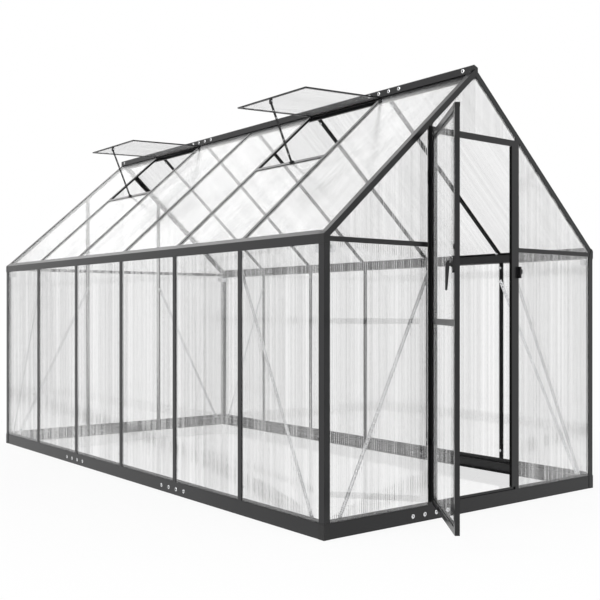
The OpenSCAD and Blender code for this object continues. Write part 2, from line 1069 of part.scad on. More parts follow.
module vent_side_rails() {
    wide = bay - 2 * vent_side;
    rail_in = bead_r + sheet_play + vent_rail;
    color(alu)
        vent_frames()
            for (s = [-1, 1])
                translate([rail_in, s * (wide - vent_rail) / 2 - vent_rail / 2, -vent_h / 2])
                    difference() {
                        cube([vent_l - vent_rail - rail_in, vent_rail, vent_h]);
                        translate([-1, s < 0 ? vent_rail / 2 : -1, vent_h / 2 - groove / 2])
                            cube([vent_l, vent_rail / 2 + 1, groove]);
                    }
}

module vent_end_rails() {
    wide = bay - 2 * vent_side;
    half = vent_rail / 2;
    color(alu)
        vent_frames()
            for (u = [bead_r + sheet_play, vent_l - vent_rail])
                translate([u, -wide / 2, -vent_h / 2])
                    difference() {
                        cube([vent_rail, wide, vent_h]);
                        translate([u > vent_l / 2 ? -1 : half, half, vent_h / 2 - groove / 2])
                            cube([half + 1, wide - vent_rail, groove]);
                    }
}

module vent_panels() {
    wide = bay - 2 * vent_side;
    lap = vent_rail / 2 + sheet_play;
    color(clear_sheet)
        vent_frames()
            translate([bead_r + sheet_play + lap, -wide / 2 + lap, -sheet_t / 2])
                cube([vent_l - bead_r - sheet_play - 2 * lap, wide - 2 * lap, sheet_t]);
}

// Place of a stay's upper end below the vent's free rail, and of its foot on the sill
pivot_in = vent_l - vent_rail / 2;
pivot_drop = vent_h / 2 + stay_block - stay_w / 2;
pivot_u = vent_hinge_u + pivot_in * cos(vent_open) + pivot_drop * sin(vent_open);
pivot_w = vent_hinge_w + pivot_in * sin(vent_open) - pivot_drop * cos(vent_open);
stay_foot_u = sill_u + sill_h / 2;
stay_foot_w = 2 * stay_t;

// Perforated stay bar from its foot on the sill up to its pivot
module stay_bar() {
    run = norm([stay_foot_u - pivot_u, stay_skew]);
    len = norm([run, pivot_w - stay_foot_w]);
    count = floor((len - 2 * stay_w) / stay_pitch);
    rotate([0, -atan2(pivot_w - stay_foot_w, run), atan2(stay_skew, pivot_u - stay_foot_u)])
        difference() {
            translate([0, -stay_w / 2, -stay_t / 2])
                cube([len, stay_w, stay_t]);
            for (k = [1:count])
                translate([k * stay_pitch, 0, -stay_t])
                    cylinder(d = stay_w / 2, h = 2 * stay_t);
        }
}

// Stays that hold the vents open, each with its foot and the block under the vent
module vent_stays() {
    color(black_plastic) {
        on_slope(-1)
            for (i = vent_bays)
                translate([stay_foot_u, bay_mids[i] - stay_skew, 0]) {
                    translate([0, 0, stay_foot_w])
                        stay_bar();
                    translate([-stay_w / 2, -stay_w, 0])
                        cube([stay_w, 2 * stay_w, stay_foot_w + stay_t / 2]);
                }
        vent_frames()
            translate([pivot_in, 0, -vent_h / 2 - stay_block / 2])
                cube([vent_rail, stay_w + 2, stay_block], center = true);
    }
}

// ---- Door ----

// Draws in the door's own frame: X along the leaf, Y inwards, Z up, as it stands open
module on_door() {
    translate([hinge_x, hinge_y, 0])
        rotate([0, 0, -door_open])
            children();
}

module door_stiles() {
    groove_in = stile_w - stile_groove;
    color(alu)
        on_door()
            for (x = [leaf_x0, leaf_x1 - stile_w])
                translate([x, -leaf_t / 2, leaf_z0])
                    difference() {
                        cube([stile_w, leaf_t, leaf_z1 - leaf_z0]);
                        translate([x > leaf_x0 ? -1 : groove_in, sheet_deep - sheet_play, -1])
                            cube([stile_groove + 1, groove, leaf_z1]);
                        if (x > leaf_x0)
                            translate([stile_w / 2, -1, handle_z - leaf_z0])
                                rotate([-90, 0, 0])
                                    cylinder(r = spindle_r + pin_play, h = leaf_t + 2);
                    }
}

module door_rails() {
    span = leaf_w - 2 * stile_w;
    color(alu)
        on_door()
            for (z = [leaf_z0, mid_rail_z - door_rail_w / 2, leaf_z1 - door_rail_w])
                translate([leaf_x0 + stile_w, -leaf_t / 2, z])
                    difference() {
                        cube([span, leaf_t, door_rail_w]);
                        if (z > leaf_z0)
                            translate([-1, sheet_deep - sheet_play, -1])
                                cube([span + 2, groove, door_rail_w / 2 - rail_web / 2 + 1]);
                        if (z < leaf_z1 - 2 * door_rail_w)
                            translate([-1, sheet_deep - sheet_play, door_rail_w / 2 + rail_web / 2])
                                cube([span + 2, groove, door_rail_w]);
                    }
}

module door_panels() {
    lap = stile_w - stile_groove + sheet_play;
    lift = rail_web / 2 + sheet_play;
    low_z = leaf_z0 + door_rail_w / 2 + lift;
    high_z = leaf_z1 - door_rail_w / 2 - lift;
    color(clear_sheet)
        on_door() {
            translate([leaf_x0 + lap, sheet_deep - leaf_t / 2, low_z])
                cube([leaf_w - 2 * lap, sheet_t, mid_rail_z - lift - low_z]);
            translate([leaf_x0 + lap, sheet_deep - leaf_t / 2, mid_rail_z + lift])
                cube([leaf_w - 2 * lap, sheet_t, high_z - mid_rail_z - lift]);
        }
}

// Thin black caps that wrap the upper corners of the leaf
module door_corner_caps() {
    cap_z = leaf_z1 + leaf_cap_t - leaf_cap_h;
    color(black_plastic)
        on_door()
            difference() {
                for (x = [leaf_x0 - leaf_cap_t, leaf_x1 + leaf_cap_t - leaf_cap])
                    translate([x, -leaf_t / 2 - leaf_cap_t, cap_z])
                        cube([leaf_cap, leaf_t + 2 * leaf_cap_t, leaf_cap_h]);
                translate([leaf_x0, -leaf_t / 2, leaf_z0])
                    cube([leaf_w, leaf_t, leaf_z1 - leaf_z0]);
            }
}

// Lower knuckle, pin and post plate of each hinge
module door_hinge_pins() {
    color(alu)
        for (z = hinge_zs)
            translate([hinge_x, hinge_y, z - hinge_l / 2]) {
                cylinder(r = knuckle_r, h = hinge_l / 2);
                cylinder(r = pin_r, h = hinge_l);
                translate([-knuckle_r, 0, 0])
                    cube([knuckle_r + 3, leaf_stand + leaf_t / 2, hinge_l / 2]);
            }
}

// Upper knuckle of each hinge, with the plate that holds the leaf
module door_hinge_leaves() {
    color(alu)
        on_door()
            for (z = hinge_zs)
                translate([0, 0, z + pin_play])
                    difference() {
                        union() {
                            cylinder(r = knuckle_r, h = hinge_l / 2 - pin_play);
                            translate([0, -3, 0])
                                cube([leaf_x0, 6, hinge_l / 2 - pin_play]);
                        }
                        translate([0, 0, -1])
                            cylinder(r = pin_r + pin_play, h = hinge_l);
                    }
}

// ---- Handle and latch ----

// Plate with round ends on the outer face of the free stile
module handle_plate() {
    color(black_plastic)
        on_door()
            translate([handle_x, -leaf_t / 2, handle_z])
                rotate([90, 0, 0])
                    linear_extrude(plate_t)
                        difference() {
                            union() {
                                square([plate_w, plate_h - plate_w], center = true);
                                for (s = [-1, 1])
                                    translate([0, s * (plate_h - plate_w) / 2])
                                        circle(d = plate_w);
                            }
                            circle(r = spindle_r + pin_play);
                        }
}

// Spindle, neck and tapered lever, which hangs down
module door_handle() {
    color(black_plastic)
        on_door()
            translate([handle_x, leaf_t / 2, handle_z]) {
                rotate([90, 0, 0])
                    cylinder(r = spindle_r, h = leaf_t + lever_out - lever_top / 2);
                translate([-lever_top / 2, -leaf_t - lever_out, 0])
                    rotate([90, 0, 90])
                        linear_extrude(lever_top)
                            union() {
                                polygon([
                                    [0, 0],
                                    [lever_top, 0],
                                    [lever_tip, -lever_l + lever_tip / 2],
                                    [0, -lever_l + lever_tip / 2]
                                ]);
                                translate([lever_tip / 2, -lever_l + lever_tip / 2])
                                    circle(d = lever_tip);
                                intersection() {
                                    translate([lever_top, 0])
                                        circle(r = lever_top);
                                    square([lever_top, lever_top]);
                                }
                            }
            }
}

// Keeper on the right door post, just past the free edge of the closed leaf
module latch_keeper() {
    keep_x = doorway_w / 2 + latch_lap + keeper_gap;
    color(black_plastic)
        translate([keep_x, 0, handle_z])
            rotate([90, 0, 0])
                linear_extrude(leaf_stand + leaf_t / 2)
                    union() {
                        translate([0, -keeper_low])
                            square([keeper_w, keeper_h]);
                        square([keeper_w + keeper_nose, nose_h]);
                    }
}

base_front();
base_back();
base_left();
base_right();
base_joiners();
base_corner_covers();
corner_posts();
left_wall_posts();
right_wall_posts();
left_eave_rail();
right_eave_rail();
eave_corner_covers();
ridge_beam();
ridge_end_caps();
front_rafters();
back_rafters();
left_roof_bars();
right_roof_bars();
front_gable_rails();
back_gable_rail();
back_gable_studs();
door_posts();
door_stop();
door_header();
corner_brackets();
left_wall_braces();
right_wall_braces();
front_braces();
back_braces();
left_wall_panels();
right_wall_panels();
front_wall_panels();
front_gable_panels();
back_wall_panels();
back_gable_panels();
left_roof_panels();
right_roof_panels();
vent_sills();
vent_hinges();
vent_side_rails();
vent_end_rails();
vent_panels();
vent_stays();
door_hinge_pins();
latch_keeper();
door_stiles();
door_rails();
door_panels();
door_corner_caps();
door_hinge_leaves();
handle_plate();
door_handle();
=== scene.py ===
# %% [markdown]
# # A greenhouse of aluminium bars and clear twin-wall sheets
#
# The frame of this house is already built: every bar, rail, sheet and hinge is a
# solid that stands where it belongs. This lesson gives those solids their real
# finishes and adds the small things that a factory or a builder adds last: the
# flutes inside the sheets, the bolts and nuts, the gaskets and the end pieces.
# Everything is in metres. X runs across the gable, Y from the door to the back.

import math

import bmesh
import bpy
from mathutils import Matrix, Vector


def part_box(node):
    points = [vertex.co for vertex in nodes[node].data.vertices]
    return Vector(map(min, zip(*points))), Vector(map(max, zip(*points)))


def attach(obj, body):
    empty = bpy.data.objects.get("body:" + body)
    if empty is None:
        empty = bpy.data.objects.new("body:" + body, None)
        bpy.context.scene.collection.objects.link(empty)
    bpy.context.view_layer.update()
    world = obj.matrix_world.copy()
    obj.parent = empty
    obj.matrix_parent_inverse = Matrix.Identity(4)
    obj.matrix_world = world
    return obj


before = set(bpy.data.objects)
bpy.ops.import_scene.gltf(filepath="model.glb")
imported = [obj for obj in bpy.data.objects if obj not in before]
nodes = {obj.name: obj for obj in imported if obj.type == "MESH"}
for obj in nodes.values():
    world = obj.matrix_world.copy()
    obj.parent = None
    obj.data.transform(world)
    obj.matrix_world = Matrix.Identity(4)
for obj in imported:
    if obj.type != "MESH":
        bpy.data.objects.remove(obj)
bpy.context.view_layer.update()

# %% [markdown]
# ## Light, floor and camera
#
# A house of clear sheets is only as good as what it mirrors, so it stands in an
# even white room. The room could be lit by one strong lamp, but then the bars
# would show one hard edge of light each. A pale world with three wide soft lamps
# keeps the side wall a little lighter than the gable, as daylight does.
# The floor is pale and keeps a faint shadow, and looks white to the eye, to
# mirrors and to whatever is seen through a sheet.


# %% One helper for colours and one for nodes
def hex_linear(code):
    """An sRGB hex colour as the linear colour that a shader socket takes."""
    parts = [int(code[i:i + 2], 16) / 255 for i in (1, 3, 5)]
    return [c / 12.92 if c <= 0.04045 else ((c + 0.055) / 1.055) ** 2.4 for c in parts] + [1]


def add_node(tree, kind, links=None, **settings):
    """Adds a node. settings are its attributes or socket values, links its incoming sockets."""
    node = tree.nodes.new("ShaderNode" + kind)
    for name, value in settings.items():
        if hasattr(node, name):
            setattr(node, name, value)
        else:
            node.inputs[name.replace("_", " ")].default_value = value
    for name, source in (links or {}).items():
        tree.links.new(source, node.inputs[name])
    return node


print("mid grey is", round(hex_linear("#808080")[0], 3))

# %% The white room
scene = bpy.context.scene
scene.view_settings.view_transform = "Standard"
scene.cycles.transparent_max_bounces = 48

world = bpy.data.worlds.new("white_room")
scene.world = world
world.use_nodes = True
room = world.node_tree
room.nodes.clear()
ray = add_node(room, "LightPath")
seen = add_node(room, "Math", {0: ray.outputs["Is Camera Ray"], 1: ray.outputs["Is Glossy Ray"]},
                operation="MAXIMUM")
seen = add_node(room, "Math", {0: seen.outputs[0], 1: ray.outputs["Is Transmission Ray"]},
                operation="MAXIMUM")
soft = add_node(room, "Background", Color=hex_linear("#ffffff"), Strength=0.62)
white = add_node(room, "Background", Color=hex_linear("#ffffff"), Strength=1.0)
both = add_node(room, "MixShader", {0: seen.outputs[0], 1: soft.outputs[0], 2: white.outputs[0]})
add_node(room, "OutputWorld", {"Surface": both.outputs[0]})
print("the room is lit")

# %% The floor
FLOOR_SIZE = 60
FLOOR_GAP = 0.002
RAIL_DEEP = 0.03
POLISH = 0.22
low, high = Vector(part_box("base_front")[0]), Vector(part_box("base_back")[1])
bpy.ops.object.select_all(action="DESELECT")
bpy.ops.mesh.primitive_plane_add(
    size=FLOOR_SIZE, location=(0, (low.y + high.y) / 2, low.z - FLOOR_GAP))
floor = bpy.context.object
floor.name = "floor"
pale = bpy.data.materials.new("pale_floor")
pale.use_nodes = True
tree = pale.node_tree
tree.nodes.clear()
ray = add_node(tree, "LightPath")
seen = add_node(tree, "Math", {0: ray.outputs["Is Camera Ray"], 1: ray.outputs["Is Glossy Ray"]},
                operation="MAXIMUM")
seen = add_node(tree, "Math", {0: seen.outputs[0], 1: ray.outputs["Is Transmission Ray"]},
                operation="MAXIMUM")
spot = add_node(tree, "TexCoord")
reach = add_node(tree, "VectorMath", {0: spot.outputs["Object"]}, operation="LENGTH")
paper = add_node(tree, "MapRange", {"Value": reach.outputs["Value"]},
                 interpolation_type="SMOOTHSTEP", From_Min=1.2, From_Max=3.2,
                 To_Min=0.88, To_Max=1.0)
share = add_node(tree, "Math", {0: seen.outputs[0], 1: paper.outputs[0]}, operation="MULTIPLY")
matt = add_node(tree, "BsdfDiffuse", Color=hex_linear("#e8e8e8"))
glow = add_node(tree, "Emission", Color=hex_linear("#ffffff"), Strength=1.0)
mixed = add_node(tree, "MixShader", {0: share.outputs[0], 1: matt.outputs[0], 2: glow.outputs[0]})
# Under the house the floor is polished, so the rails are mirrored faintly in it.
parts = add_node(tree, "SeparateXYZ", {0: spot.outputs["Object"]})
under = None
halves = (("X", (high.x - low.x) / 2 - RAIL_DEEP), ("Y", (high.y - low.y) / 2 - RAIL_DEEP))
for axis, half in halves:
    size = add_node(tree, "Math", {0: parts.outputs[axis]}, operation="ABSOLUTE")
    within = add_node(tree, "Math", {0: size.outputs[0]}, operation="LESS_THAN")
    within.inputs[1].default_value = half
    if under is not None:
        within = add_node(tree, "Math", {0: under.outputs[0], 1: within.outputs[0]},
                          operation="MULTIPLY")
    under = within
polish = add_node(tree, "Math", {0: under.outputs[0]}, operation="MULTIPLY")
polish.inputs[1].default_value = POLISH
gloss = add_node(tree, "BsdfGlossy", Color=hex_linear("#ffffff"), Roughness=0.05)
mixed = add_node(tree, "MixShader",
                 {0: polish.outputs[0], 1: mixed.outputs[0], 2: gloss.outputs[0]})
add_node(tree, "OutputMaterial", {"Surface": mixed.outputs[0]})
floor.data.materials.append(pale)
print("floor at", round(floor.location.z, 4))


# %% The lamps
def soft_lamp(name, place, target, size, power):
    """A square lamp that looks from one place to another."""
    lamp = bpy.data.lights.new(name, "AREA")
    lamp.shape = "SQUARE"
    lamp.size = size
    lamp.energy = power
    holder = bpy.data.objects.new(name, lamp)
    scene.collection.objects.link(holder)
    aim = Vector(target) - Vector(place)
    turn = aim.to_track_quat("-Z", "Y").to_matrix().to_4x4()
    holder.matrix_world = Matrix.Translation(place) @ turn
    holder.visible_camera = False
    return holder


soft_lamp("side_lamp", (-7.0, 1.0, 4.5), (-0.5, 1.5, 0.9), 4.0, 260)
soft_lamp("front_lamp", (1.0, -7.5, 5.0), (0.0, 0.5, 1.0), 4.0, 90)
soft_lamp("back_lamp", (1.0, 9.5, 7.0), (0.0, 1.8, 1.5), 6.0, 125)
print("three soft lamps")

# %% The camera
# It stands at eye height of a crouching person, level, a little off the near corner.
VIEW_PLACE = Vector((-3.4124, -2.994, 0.966))
VIEW_TURN = math.radians(-37.95)
view = bpy.data.cameras.new("corner_view")
view.sensor_width = 36.0
view.lens = 55.36
view.shift_y = 0.0183
camera = bpy.data.objects.new("corner_view", view)
scene.collection.objects.link(camera)
camera.matrix_world = (Matrix.Translation(VIEW_PLACE) @ Matrix.Rotation(VIEW_TURN, 4, "Z")
                       @ Matrix.Rotation(math.pi / 2, 4, "X"))
scene.camera = camera
print("camera at", [round(v, 3) for v in VIEW_PLACE])

# %% [markdown]
# ## Powder-coated aluminium
#
# The bars are extruded aluminium, degreased and then coated with anthracite powder
# that melts to a skin of about 0.08 mm. The skin is a plastic, so it is not metallic
# to the eye: it is nearly black from the front and mirrors the sky when it is seen
# along its face. The grain of the powder gives a fine orange peel, and a
# slow change of sheen along each bar. One flat grey would do from far away, but it
# makes every bar look the same, so two noises drive the tone, the sheen and the bump.


# %% Powder coat
def new_material(name):
    """An empty material, and the Principled shader that it starts with."""
    material = bpy.data.materials.new(name)
    material.use_nodes = True
    tree = material.node_tree
    tree.nodes.clear()
    shader = add_node(tree, "BsdfPrincipled")
    add_node(tree, "OutputMaterial", {"Surface": shader.outputs[0]})
    return material, tree, shader


def place_in(tree, **turn):
    """The point being shaded, in metres from the house's own origin."""
    where = add_node(tree, "TexCoord")
    return add_node(tree, "Mapping", {"Vector": where.outputs["Object"]}, **turn).outputs[0]


PEEL_MM = 1.6
coated, tree, shader = new_material("powder_coated_aluminium")
shader.inputs["Metallic"].default_value = 0.0
shader.inputs["IOR"].default_value = 1.42
point = place_in(tree)
slow = add_node(tree, "TexNoise", {"Vector": point}, Scale=3.0, Detail=3.0)
tone = add_node(tree, "ValToRGB", {"Fac": slow.outputs["Fac"]})
tone.color_ramp.elements[0].color = hex_linear("#171718")
tone.color_ramp.elements[1].color = hex_linear("#1d1d1f")
tree.links.new(tone.outputs[0], shader.inputs["Base Color"])
sheen = add_node(tree, "MapRange", {"Value": slow.outputs["Fac"]}, To_Min=0.24, To_Max=0.34)
tree.links.new(sheen.outputs[0], shader.inputs["Roughness"])
peel = add_node(tree, "TexNoise", {"Vector": point}, Scale=1000 / PEEL_MM, Detail=1.0)
bump = add_node(tree, "Bump", {"Height": peel.outputs["Fac"]}, Strength=0.15, Distance=0.0001)
tree.links.new(bump.outputs[0], shader.inputs["Normal"])
print(coated.name)

# %% [markdown]
# ## Galvanised steel and black nylon
#
# The braces and corner plates are punched from galvanised strip: bright, a little
# blue, with the crystals of the zinc, called spangle, some 5 mm across. A smooth
# noise could give the cloudy tone, but spangle has edges, so cells are used.
# The vent stays, corner and end caps and the handle are moulded from black nylon,
# whose skin takes the fine grain of its mould.

# %% Galvanised steel
SPANGLE_MM = 5.0
galvanised, tree, shader = new_material("galvanised_strip")
shader.inputs["Metallic"].default_value = 1.0
point = place_in(tree)
crystals = add_node(tree, "TexVoronoi", {"Vector": point}, Scale=1000 / SPANGLE_MM)
tone = add_node(tree, "ValToRGB", {"Fac": crystals.outputs["Color"]})
tone.color_ramp.elements[0].color = hex_linear("#d2d3d5")
tone.color_ramp.elements[1].color = hex_linear("#f6f6f7")
tree.links.new(tone.outputs[0], shader.inputs["Base Color"])
sheen = add_node(tree, "MapRange", {"Value": crystals.outputs["Color"]}, To_Min=0.35, To_Max=0.5)
tree.links.new(sheen.outputs[0], shader.inputs["Roughness"])
print(galvanised.name)

# %% Moulded nylon
nylon, tree, shader = new_material("moulded_black_nylon")
shader.inputs["IOR"].default_value = 1.45
point = place_in(tree)
grain = add_node(tree, "TexNoise", {"Vector": point}, Scale=900.0, Detail=2.0)
tone = add_node(tree, "ValToRGB", {"Fac": grain.outputs["Fac"]})
tone.color_ramp.elements[0].color = hex_linear("#0c0c0c")
tone.color_ramp.elements[1].color = hex_linear("#141415")
tree.links.new(tone.outputs[0], shader.inputs["Base Color"])
shader.inputs["Roughness"].default_value = 0.42
bump = add_node(tree, "Bump", {"Height": grain.outputs["Fac"]}, Strength=0.3, Distance=0.0001)
tree.links.new(bump.outputs[0], shader.inputs["Normal"])
print(nylon.name)

# %% [markdown]
# ## Clear twin-wall polycarbonate
#
# Each sheet is extruded with two thin walls and many small ribs between them, so it
# is stiff and light. Every wall mirrors a little of the room, much more where it is
# seen along its face, and passes the rest. Glass that bends the light could do this,
# but it would throw noisy patches of light. A thin skin that mirrors and passes
# straight through gives the same look, so the shader mixes a mirror over a
# see-through tint, by how much the face turns away from the eye.

# %% One sheet's finish
# The real flutes are 6 to 10 mm wide, too fine to show from here, so the streaks are
# drawn coarser.
STREAK_MM = 28.0
BROAD_MM = 160.0


def twin_wall(name, turn, gloss, face_on, edge_on, darkest="#f5f5f5", palest="#ffffff"):
    """Clear sheet with streaks, which change along the level direction at the angle turn."""
    material = bpy.data.materials.new(name)
    material.use_nodes = True
    tree = material.node_tree
    tree.nodes.clear()
    across = add_node(tree, "VectorMath", {0: place_in(tree)}, operation="DOT_PRODUCT")
    across.inputs[1].default_value = (math.cos(turn), math.sin(turn), 0)
    across = across.outputs["Value"]
    flutes = add_node(tree, "TexNoise", {"W": across}, noise_dimensions="1D",
                      Scale=1000 / STREAK_MM, Detail=2.0, Roughness=0.7)
    broad = add_node(tree, "TexNoise", {"W": across}, noise_dimensions="1D",
                     Scale=1000 / BROAD_MM, Detail=1.0)
    haze = add_node(tree, "Math", {0: flutes.outputs["Fac"], 1: broad.outputs["Fac"]},
                    operation="ADD")
    haze = add_node(tree, "MapRange", {"Value": haze.outputs[0]}, From_Min=0.7, From_Max=1.3)
    streak = add_node(tree, "ValToRGB", {"Fac": haze.outputs[0]})
    streak.color_ramp.elements[0].color = hex_linear(darkest)
    streak.color_ramp.elements[1].color = hex_linear(palest)
    clear = add_node(tree, "BsdfTransparent", {"Color": streak.outputs[0]})
    mirror = add_node(tree, "BsdfGlossy", Color=hex_linear("#fafafa"), Roughness=gloss)
    turned = add_node(tree, "LayerWeight", Blend=0.5)
    steep = add_node(tree, "Math", {0: turned.outputs["Facing"]}, operation="POWER")
    steep.inputs[1].default_value = 5.0
    amount = add_node(tree, "MapRange", {"Value": steep.outputs[0]},
                      To_Min=face_on, To_Max=edge_on)
    skin = add_node(tree, "MixShader",
                    {0: amount.outputs[0], 1: clear.outputs[0], 2: mirror.outputs[0]})
    add_node(tree, "OutputMaterial", {"Surface": skin.outputs[0]})
    return material


DOOR_TURN = math.radians(127.75)
side_sheet = twin_wall("twin_wall_side", math.pi / 2, 0.05, 0.10, 1.0, "#f1f1f1")
roof_sheet = twin_wall("twin_wall_roof", math.pi / 2, 0.18, 0.05, 0.5, "#f3f3f3", "#fafafa")
vent_sheet = twin_wall("twin_wall_vent", math.pi / 2, 0.4, 0.04, 0.2, "#fafafa")
gable_sheet = twin_wall("twin_wall_gable", 0.0, 0.02, 0.10, 1.0)
door_sheet = twin_wall("twin_wall_door", DOOR_TURN, 0.04, 0.02, 0.06, "#fcfcfc")
print("five sheets")

# %% Giving each node its finish
SHEETS = {
    "left_wall_panels": side_sheet, "right_wall_panels": side_sheet,
    "left_roof_panels": roof_sheet, "right_roof_panels": roof_sheet,
    "vent_panels": vent_sheet, "front_wall_panels": gable_sheet,
    "front_gable_panels": gable_sheet, "back_wall_panels": gable_sheet,
    "back_gable_panels": gable_sheet, "door_panels": door_sheet,
}
STEEL = ("corner_brackets", "left_wall_braces", "right_wall_braces", "front_braces", "back_braces")
NYLON = ("base_corner_covers", "eave_corner_covers", "ridge_end_caps", "vent_stays",
         "handle_plate", "door_handle", "door_corner_caps")


def dress(name):
    """The finish of one node of the frame."""
    if name in SHEETS:
        return SHEETS[name]
    if name in STEEL:
        return galvanised
    if name in NYLON:
        return nylon
    return coated


for name, part in nodes.items():
    for slot in part.material_slots:
        slot.material = dress(name)
    print(name, dress(name).name)

# %% [markdown]
# ## Measuring the solids
#
# New pieces have to sit on the frame exactly, so their places are measured from the
# solids. One node can hold many solids, such as five bars, and each is found by
# walking from corner to corner along its edges. The places could be typed in as
# numbers, but then they would be wrong as soon as a bar moved.


# %% Finding the solids of a node
def solids_of(name):
    """The corners of each solid in a node, in order along the house."""
    shape = bmesh.new()
    shape.from_mesh(nodes[name].data)
    bmesh.ops.remove_doubles(shape, verts=shape.verts, dist=1e-6)
    solids = []
    for corner in shape.verts:
        if corner.tag:
            continue
        corner.tag = True
        reached = [corner]
        for here in reached:
            for edge in here.link_edges:
                there = edge.other_vert(here)
                if not there.tag:
                    there.tag = True
                    reached.append(there)
        solids.append([v.co.copy() for v in reached])
    shape.free()
    return sorted(solids, key=lambda corners: (round(min(p.y for p in corners), 4),
                                               round(min(p.x for p in corners), 4)))


def box_of(corners):
    """The lowest corner, highest corner and middle of a solid."""
    lowest = Vector([min(p[i] for p in corners) for i in range(3)])
    highest = Vector([max(p[i] for p in corners) for i in range(3)])
    return lowest, highest, (lowest + highest) / 2


def finish_piece(piece, name, material, body="house"):
    """Names a piece, gives it its finish, and makes it ride on a body."""
    piece.name = name
    piece.data.name = name
    piece.data.materials.clear()
    piece.data.materials.append(material)
    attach(piece, body)
    print(name, len(piece.data.polygons), "faces, rides on", body)
    return piece


def pick_faces(piece, test):
    """In edit mode, selects only the faces whose middle and normal pass a test."""
    shape = bmesh.from_edit_mesh(piece.data)
    for face in shape.faces:
        face.select_set(test(face.calc_center_median(), face.normal))
    shape.select_flush_mode()
    bmesh.update_edit_mesh(piece.data)


def set_out(model, places, name, material, body="house"):
    """Copies a model to each place, its Z turned outwards, and joins the copies into one piece."""
    copies = []
    for place, outwards in places:
        twin = model.copy()
        twin.data = model.data.copy()
        scene.collection.objects.link(twin)
        turn = Vector(outwards).to_track_quat("Z", "Y").to_matrix().to_4x4()
        twin.data.transform(Matrix.Translation(place) @ turn)
        copies.append(twin)
    bpy.ops.object.select_all(action="DESELECT")
    for twin in copies:
        twin.select_set(True)
    bpy.context.view_layer.objects.active = copies[0]
    if len(copies) > 1:
        bpy.ops.object.join()
    return finish_piece(copies[0], name, material, body)


print("the front base rail has", len(solids_of("base_front")), "solid")

# %% [markdown]
# ## Bolts and nuts
#
# Wherever two lengths of rail meet, four zinc-plated bolts go through a joiner plate.
# Their heads are low domes with a socket in the middle, and they catch the light, so
# they are the brightest things on the dark rails. A head could be a plain disc, but
# the dome and the socket are what make it read as a bolt. It is one cylinder: its top
# is inset and raised twice for the dome, and inset and sunk for the socket.

# %% Zinc plating
BRUSH_MM = 2.0
zinc, tree, shader = new_material("zinc_plated_steel")
shader.inputs["Metallic"].default_value = 1.0
point = place_in(tree)
cloud = add_node(tree, "TexNoise", {"Vector": point}, Scale=1000 / BRUSH_MM, Detail=2.0)
tone = add_node(tree, "ValToRGB", {"Fac": cloud.outputs["Fac"]})
tone.color_ramp.elements[0].color = hex_linear("#c4c5c8")
tone.color_ramp.elements[1].color = hex_linear("#eceded")
tree.links.new(tone.outputs[0], shader.inputs["Base Color"])
sheen = add_node(tree, "MapRange", {"Value": cloud.outputs["Fac"]}, To_Min=0.12, To_Max=0.25)
tree.links.new(sheen.outputs[0], shader.inputs["Roughness"])
print(zinc.name)

# %% One dome-head bolt
HEAD_R = 0.0105
HEAD_UP = 0.002
bpy.ops.object.select_all(action="DESELECT")
bpy.ops.mesh.primitive_cylinder_add(vertices=18, radius=HEAD_R, depth=HEAD_UP / 4,
                                    location=(0, 0, HEAD_UP / 8))
dome_bolt = bpy.context.object
bpy.ops.object.transform_apply()
bpy.ops.object.mode_set(mode="EDIT")
bpy.ops.mesh.select_mode(type="FACE")
pick_faces(dome_bolt, lambda middle, normal: normal.z > 0.9)
dome_steps = ((0.0009, HEAD_UP * 0.35), (0.0019, HEAD_UP * 0.28), (0.0021, HEAD_UP * 0.12))
for inwards, upwards in dome_steps:
    bpy.ops.mesh.inset(thickness=inwards)
    bpy.ops.transform.translate(value=(0, 0, upwards))
bpy.ops.mesh.inset(thickness=0.0010)
bpy.ops.mesh.inset(thickness=0.0002)
bpy.ops.transform.translate(value=(0, 0, -HEAD_UP * 1.2))
bpy.ops.object.mode_set(mode="OBJECT")
bpy.ops.object.shade_smooth_by_angle(angle=math.radians(40))
print("bolt head", len(dome_bolt.data.polygons), "faces")

# %% Where the rails are spliced
PITCH = 0.0765
PAST_BAR = 0.02
rail_low, rail_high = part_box("base_left")[0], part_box("base_right")[1]
splices = []
for corners in solids_of("base_joiners"):
    lowest, highest, middle = box_of(corners)
    steps = [(k - 1.5) * PITCH for k in range(4)]
    if highest.y - lowest.y > highest.x - lowest.x:
        edge = rail_low[0] if middle.x < 0 else rail_high[0]
        splices += [((edge, middle.y + PAST_BAR + s, middle.z), (math.copysign(1, edge), 0, 0))
                    for s in steps]
    else:
        edge = rail_low[1] if middle.y < 1 else rail_high[1]
        splices += [((middle.x + s, edge, middle.z), (0, -1 if edge < 1 else 1, 0)) for s in steps]
print(len(splices), "bolts in the base rails")

bars = [box_of(c)[2].y for c in solids_of("left_roof_bars")]
beam_low, beam_high = [Vector(c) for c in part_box("ridge_beam")]
cap_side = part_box("ridge_end_caps")[1][0]
END_IN = 0.0575
BELOW_TOP = 0.0265
along = [bars[i] + (k - 1.5) * PITCH - 0.01 for i in (0, 3) for k in range(4)]
along += [beam_low.y + END_IN, beam_high.y - END_IN]
ridge_places = [((side * cap_side, y, beam_high.z - BELOW_TOP), (side, 0, 0))
                for side in (-1, 1) for y in along]
set_out(dome_bolt, splices, "base_bolts", zinc)
set_out(dome_bolt, ridge_places, "ridge_bolts", zinc)

# %% [markdown]
# ## Track bolts
#
# The posts and the roof bars have a track on their inner side. A bolt slides in it
# head first, and a nut pulls the bar against the rail. Seen from inside, each end of a
# bar has one bright nut on a washer, with the thread standing out. A hexagon, extruded
# and inset step by step, gives the washer, the nut and the thread in one piece.

